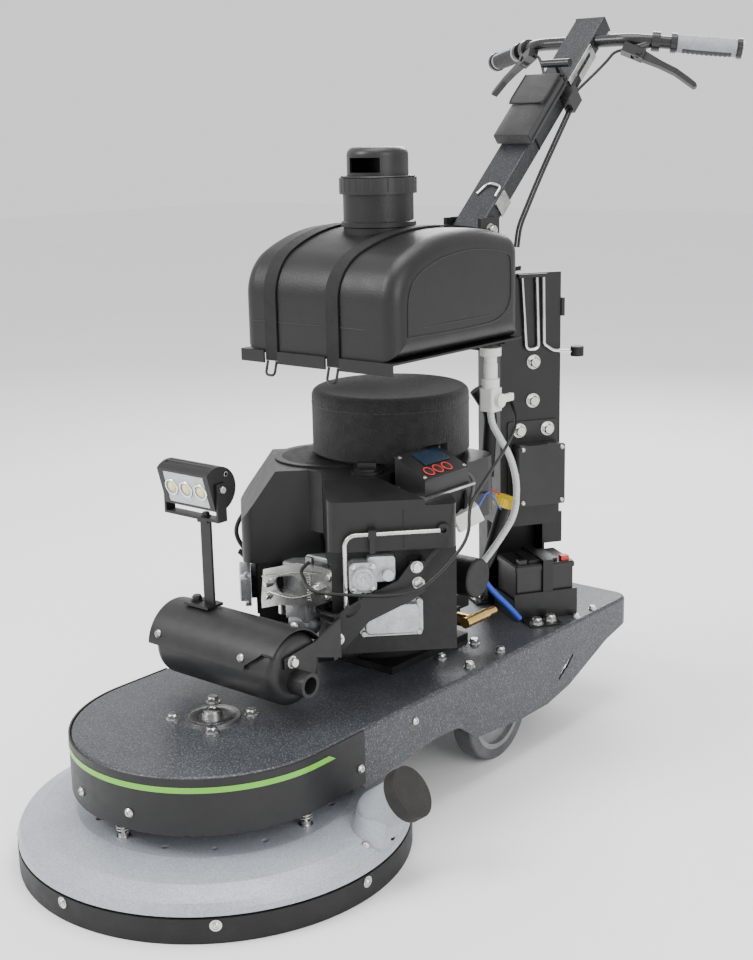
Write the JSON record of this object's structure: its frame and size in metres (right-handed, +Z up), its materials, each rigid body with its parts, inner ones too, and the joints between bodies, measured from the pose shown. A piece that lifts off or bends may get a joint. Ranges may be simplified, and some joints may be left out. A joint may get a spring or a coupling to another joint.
{
  "type": "walk-behind engine-driven floor grinder",
  "caption": "Walk-behind floor grinding and polishing machine with V engine, floating dust shroud, water tank, battery tower and tilting handle.",
  "frame": {"origin": "grinding spindle axis where the pad meets the floor", "axes": "+Z up, -Y ahead towards the grinding head, +Y back towards the operator, +X the operator's left"},
  "size_m": [0.614, 1.391, 1.1935],
  "materials": {
    "hammertone_dark": "hammered dark grey paint",
    "hammertone_light": "hammered light grey paint",
    "black_sheet": "satin black powder coat",
    "column_paint": "hammered black-grey paint",
    "black_rubber": "matt",
    "grip_rubber": "two-tone moulded",
    "zinc_plate": "zinc plated",
    "steel": "machined",
    "cast_alloy": "as cast",
    "housing_plastic": "fine moulded texture",
    "foam": "open-cell foam",
    "grey_tank": "satin rotomoulded",
    "strap_web": "woven webbing",
    "heat_steel": "satin heat-resistant black",
    "yellow_cap": "moulded",
    "white_plastic": "moulded",
    "red_lever": "moulded",
    "alloy_lever": "satin",
    "wheel_rubber": "polyurethane tread",
    "pad_abrasive": "abrasive pad"
  },
  "bodies": {
    "chassis": {"battery": "heat_steel", "battery_tray": "hammertone_dark", "bearing_housing": "cast_alloy", "chassis_bolts": "zinc_plate", "column_bracket": "column_paint", "control_box": "black_sheet", "cylinder_baffles": "zinc_plate", "deck": "hammertone_dark", "display_unit": "heat_steel", "drive_belt": "black_rubber", "engine_block": "cast_alloy", "engine_brackets": "zinc_plate", "fan_housing": "housing_plastic", "fan_screen": "zinc_plate", "foam_prefilter": "foam", "front_band": "black_sheet", "fuel_system": "cast_alloy", "heat_shield": "heat_steel", "hoses": "white_plastic", "lamp_bracket": "black_sheet", "muffler": "steel", "oil_filler_tube": "heat_steel", "oil_filter": "heat_steel", "tank_shelf": "black_sheet", "tank_straps": "strap_web", "throttle_cable": "black_rubber", "tower": "black_sheet", "valve_covers": "cast_alloy", "water_tank": "grey_tank", "water_valve": "white_plastic", "wheel_brackets": "hammertone_dark"},
    "shroud_unit": {"shroud": "hammertone_light", "rubber_skirt": "black_rubber", "dust_port": "hammertone_light", "shroud_posts": "zinc_plate", "shroud_springs": "zinc_plate"},
    "port_cap": {"port_cap": "black_rubber"},
    "spindle": {"spindle": "steel", "grinding_pad": "pad_abrasive"},
    "crank": {"crankshaft": "steel", "flywheel_fan": "cast_alloy"},
    "wheel_left": {"wheel_left": "wheel_rubber"},
    "wheel_right": {"wheel_right": "wheel_rubber"},
    "handle": {"column": "column_paint", "handlebar": "steel", "grips": "grip_rubber", "throttle_controls": "zinc_plate", "pouch": "strap_web"},
    "lever_left": {"lever_left": "alloy_lever"},
    "lever_right": {"lever_right": "alloy_lever"},
    "pouch_flap": {"pouch_flap": "strap_web"},
    "t_handle": {"t_handle": "alloy_lever"},
    "tank_cap": {"tank_cap": "housing_plastic"},
    "oil_cap": {"oil_cap": "yellow_cap"},
    "valve_lever": {"valve_lever": "red_lever"},
    "work_light": {"work_light": "heat_steel"},
    "button_1": {"display_button_1": "red_lever"},
    "button_2": {"display_button_2": "red_lever"},
    "button_3": {"display_button_3": "red_lever"},
    "housing_knob": {"housing_knob": "housing_plastic"}
  },
  "joints": [
    {"name": "shroud_float", "type": "slide", "parent": "chassis", "child": "shroud_unit", "axis": [0, 0, 1], "range_m": [0, 0.01], "stiffness_N_per_m": 3000, "springref_m": -0.01, "deforming": ["shroud_springs"]},
    {"name": "port_cap_pull", "type": "slide", "parent": "shroud_unit", "child": "port_cap", "axis": [0.7887, 0.1757, 0.5891], "range_m": [0, 0.04]},
    {"name": "spindle_spin", "type": "hinge", "parent": "chassis", "child": "spindle", "pos_m": [0, 0, 0.1], "axis": [0, 0, 1], "continuous": true},
    {"name": "crank_spin", "type": "hinge", "parent": "chassis", "child": "crank", "pos_m": [0, 0.378, 0.2], "axis": [0, 0, 1], "continuous": true},
    {"name": "wheel_left_spin", "type": "hinge", "parent": "chassis", "child": "wheel_left", "pos_m": [0.151, 0.476, 0.08], "axis": [1, 0, 0], "continuous": true},
    {"name": "wheel_right_spin", "type": "hinge", "parent": "chassis", "child": "wheel_right", "pos_m": [-0.151, 0.476, 0.08], "axis": [1, 0, 0], "continuous": true},
    {"name": "handle_tilt", "type": "hinge", "parent": "chassis", "child": "handle", "pos_m": [0, 0.64, 0.8404], "axis": [1, 0, 0], "range_deg": [-15, 20]},
    {"name": "lever_left_squeeze", "type": "hinge", "parent": "handle", "child": "lever_left", "pos_m": [0.118, 0.977, 1.124], "axis": [0.5229, -0.7495, 0.406], "range_deg": [0, 16], "stiffness_Nm_per_rad": 1.2, "springref_deg": -17.19},
    {"name": "lever_right_squeeze", "type": "hinge", "parent": "handle", "child": "lever_right", "pos_m": [-0.118, 0.977, 1.124], "axis": [0.5229, 0.7495, -0.406], "range_deg": [0, 16], "stiffness_Nm_per_rad": 1.2, "springref_deg": -17.19},
    {"name": "pouch_flap_open", "type": "hinge", "parent": "handle", "child": "pouch_flap", "pos_m": [0, 0.85554, 1.0957], "axis": [-1, 0, 0], "range_deg": [0, 100]},
    {"name": "t_handle_pull", "type": "slide", "parent": "handle", "child": "t_handle", "axis": [0, -0.6691, 0.7431], "range_m": [0, 0.02]},
    {"name": "tank_cap_lift", "type": "slide", "parent": "chassis", "child": "tank_cap", "axis": [0, 0, 1], "range_m": [0, 0.08]},
    {"name": "oil_cap_lift", "type": "slide", "parent": "chassis", "child": "oil_cap", "axis": [0.2197, 0.1798, 0.9589], "range_m": [0, 0.03]},
    {"name": "water_valve_turn", "type": "hinge", "parent": "chassis", "child": "valve_lever", "pos_m": [0.136, 0.528, 0.584], "axis": [1, 0, 0], "range_deg": [0, 90]},
    {"name": "work_light_tilt", "type": "hinge", "parent": "chassis", "child": "work_light", "pos_m": [-0.078, 0.06, 0.512], "axis": [1, 0, 0], "range_deg": [-30, 30]},
    {"name": "housing_knob_turn", "type": "hinge", "parent": "chassis", "child": "housing_knob", "pos_m": [0.064, 0.282, 0.51], "axis": [0, 0, 1], "range_deg": [0, 90]},
    {"name": "display_button_1_press", "type": "slide", "parent": "chassis", "child": "button_1", "axis": [-0.4524, 0, -0.8918], "range_m": [0, 0.0008], "stiffness_N_per_m": 300, "springref_m": -0.001},
    {"name": "display_button_2_press", "type": "slide", "parent": "chassis", "child": "button_2", "axis": [-0.4524, 0, -0.8918], "range_m": [0, 0.0008], "stiffness_N_per_m": 300, "springref_m": -0.001},
    {"name": "display_button_3_press", "type": "slide", "parent": "chassis", "child": "button_3", "axis": [-0.4524, 0, -0.8918], "range_m": [0, 0.0008], "stiffness_N_per_m": 300, "springref_m": -0.001}
  ],
  "couplings": [
    {"joint": "crank_spin", "follows": "spindle_spin", "ratio": 1.5}
  ]
}
